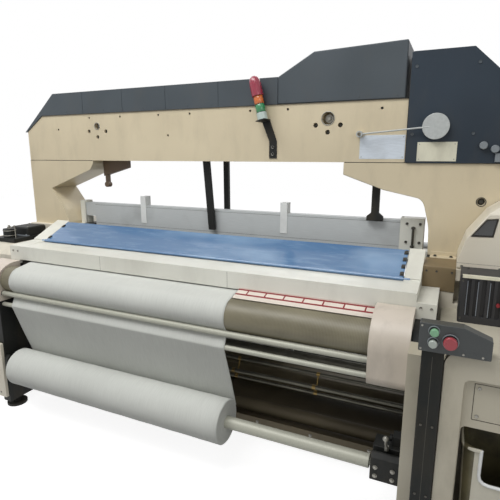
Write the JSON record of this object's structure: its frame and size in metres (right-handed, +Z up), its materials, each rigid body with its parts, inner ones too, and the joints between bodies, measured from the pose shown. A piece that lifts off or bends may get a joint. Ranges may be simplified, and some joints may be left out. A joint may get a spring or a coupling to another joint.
{
  "type": "power loom",
  "caption": "Wide shuttleless power loom with an overhead arch, heald frames, take-up rollers, a cloth roll, a warp beam and a control console",
  "frame": {"origin": "centre of the bounding box on the floor", "axes": "X to the weaver's right along the width, Y from the cloth side to the warp side, Z up"},
  "size_m": [4, 1.9, 2.1497],
  "materials": {
    "frame_black": "satin black enamel",
    "cream_paint": "satin beige enamel",
    "slate_paint": "satin slate enamel",
    "brown_paint": "satin brown enamel",
    "grey_steel": "turned steel",
    "rail_aluminium": "dull extruded aluminium",
    "olive_rubber": "ribbed grip rubber",
    "belt_rubber": "plain belt rubber",
    "white_cloth": "plain weave, unbleached white",
    "blue_plastic": "clear tinted blue sheet",
    "pale_plastic": "pale moulding",
    "green_plastic": "green moulding",
    "orange_plastic": "orange moulding",
    "red_plastic": "red moulding",
    "olive_plastic": "dull bucket plastic"
  },
  "bodies": {
    "loom_frame": {"left_side_frame": "frame_black", "right_side_frame": "frame_black", "cross_members": "frame_black", "breast_beam": "frame_black", "left_gear_case": "cream_paint", "right_gear_case": "cream_paint", "levelling_feet": "frame_black", "arch_leg_left": "cream_paint", "arch_leg_right": "cream_paint", "arch_beam": "cream_paint", "beam_cover": "slate_paint", "raised_cowl": "slate_paint", "shed_drive_box": "slate_paint", "hanger_bracket": "brown_paint", "heald_guide_posts": "frame_black", "lamp_bracket": "frame_black", "lamp_base": "pale_plastic", "lamp_green": "green_plastic", "lamp_orange": "orange_plastic", "lamp_red": "red_plastic", "heald_frame_guides": "cream_paint", "breast_cover": "cream_paint", "guide_bar": "grey_steel", "roller_end_guards": "cream_paint", "cloth_sheet": "white_cloth", "cloth_roll_brackets": "frame_black", "warp_sheet": "white_cloth", "let_off_gearbox": "cream_paint", "drive_motor": "slate_paint", "drive_belt": "belt_rubber", "right_cabinet": "cream_paint", "waste_bucket": "olive_plastic", "control_column": "frame_black", "control_panel": "frame_black", "vented_box": "frame_black", "upper_housing": "cream_paint", "left_selvedge_unit": "frame_black"},
    "flag_body": {"call_flag": "grey_steel"},
    "heald_1_body": {"heald_frame_1": "rail_aluminium"},
    "heald_2_body": {"heald_frame_2": "rail_aluminium"},
    "heald_3_body": {"heald_frame_3": "rail_aluminium"},
    "heald_4_body": {"heald_frame_4": "rail_aluminium"},
    "sley_body": {"sley_beam": "rail_aluminium", "reed": "grey_steel", "rocking_shaft": "grey_steel"},
    "guard_body": {"splash_guard": "blue_plastic"},
    "take_up_body": {"take_up_roller": "olive_rubber"},
    "press_body": {"press_roller": "grey_steel"},
    "roll_body": {"cloth_roll": "white_cloth", "cloth_roll_core": "grey_steel"},
    "back_rest_body": {"back_rest": "grey_steel"},
    "warp_beam_body": {"warp_beam": "rail_aluminium", "warp_beam_flanges": "rail_aluminium", "warp_yarn": "white_cloth"},
    "main_shaft_body": {"main_shaft": "grey_steel", "drive_pulley": "frame_black"},
    "motor_pulley_body": {"motor_pulley": "frame_black"},
    "start_body": {"start_button": "green_plastic"},
    "jog_body": {"jog_button": "pale_plastic"},
    "stop_body": {"stop_button": "red_plastic"}
  },
  "joints": [
    {"name": "call_flag_turn", "type": "hinge", "parent": "loom_frame", "child": "flag_body", "pos_m": [0.719, -0.036, 1.704], "axis": [0, -1, 0], "range_deg": [-30, 75]},
    {"name": "heald_1_lift", "type": "slide", "parent": "loom_frame", "child": "heald_1_body", "axis": [0, 0, 1], "range_m": [-0.035, 0.035]},
    {"name": "heald_2_lift", "type": "slide", "parent": "loom_frame", "child": "heald_2_body", "axis": [0, 0, 1], "range_m": [-0.035, 0.035]},
    {"name": "heald_3_lift", "type": "slide", "parent": "loom_frame", "child": "heald_3_body", "axis": [0, 0, 1], "range_m": [-0.035, 0.035]},
    {"name": "heald_4_lift", "type": "slide", "parent": "loom_frame", "child": "heald_4_body", "axis": [0, 0, 1], "range_m": [-0.035, 0.035]},
    {"name": "sley_swing", "type": "hinge", "parent": "loom_frame", "child": "sley_body", "pos_m": [-0.095, 0.02, 0.56], "axis": [1, 0, 0], "range_deg": [0, 11.5]},
    {"name": "splash_guard_open", "type": "hinge", "parent": "loom_frame", "child": "guard_body", "pos_m": [-0.095, -0.36, 1.044], "axis": [1, 0, 0], "range_deg": [0, 100]},
    {"name": "warp_beam_turn", "type": "hinge", "parent": "loom_frame", "child": "warp_beam_body", "pos_m": [-0.095, 0.55, 0.5], "axis": [1, 0, 0], "continuous": true},
    {"name": "take_up_turn", "type": "hinge", "parent": "loom_frame", "child": "take_up_body", "pos_m": [-0.095, -0.62, 0.845], "axis": [1, 0, 0], "continuous": true},
    {"name": "press_roller_turn", "type": "hinge", "parent": "loom_frame", "child": "press_body", "pos_m": [-0.095, -0.68332, 0.76955], "axis": [1, 0, 0], "continuous": true},
    {"name": "cloth_roll_turn", "type": "hinge", "parent": "loom_frame", "child": "roll_body", "pos_m": [-0.095, -0.68, 0.302], "axis": [1, 0, 0], "continuous": true},
    {"name": "back_rest_turn", "type": "hinge", "parent": "loom_frame", "child": "back_rest_body", "pos_m": [-0.095, 0.79, 0.96], "axis": [1, 0, 0], "continuous": true},
    {"name": "main_shaft_turn", "type": "hinge", "parent": "loom_frame", "child": "main_shaft_body", "pos_m": [-0.095, -0.06, 0.42], "axis": [1, 0, 0], "continuous": true},
    {"name": "motor_pulley_turn", "type": "hinge", "parent": "loom_frame", "child": "motor_pulley_body", "pos_m": [1.604, 0.62, 0.27], "axis": [1, 0, 0], "continuous": true},
    {"name": "start_press", "type": "slide", "parent": "loom_frame", "child": "start_body", "axis": [0, 1, 0], "range_m": [0, 0.004], "stiffness_N_per_m": 400},
    {"name": "jog_press", "type": "slide", "parent": "loom_frame", "child": "jog_body", "axis": [0, 1, 0], "range_m": [0, 0.004], "stiffness_N_per_m": 400},
    {"name": "stop_press", "type": "slide", "parent": "loom_frame", "child": "stop_body", "axis": [0, 1, 0], "range_m": [0, 0.005], "stiffness_N_per_m": 400}
  ],
  "couplings": [
    {"joint": "heald_2_lift", "follows": "heald_1_lift", "ratio": -1},
    {"joint": "heald_3_lift", "follows": "heald_1_lift", "ratio": 1},
    {"joint": "heald_4_lift", "follows": "heald_1_lift", "ratio": -1},
    {"joint": "take_up_turn", "follows": "warp_beam_turn", "ratio": 4.125},
    {"joint": "press_roller_turn", "follows": "warp_beam_turn", "ratio": -22},
    {"joint": "cloth_roll_turn", "follows": "warp_beam_turn", "ratio": -2.973},
    {"joint": "back_rest_turn", "follows": "warp_beam_turn", "ratio": 6},
    {"joint": "motor_pulley_turn", "follows": "main_shaft_turn", "ratio": 2.5}
  ]
}
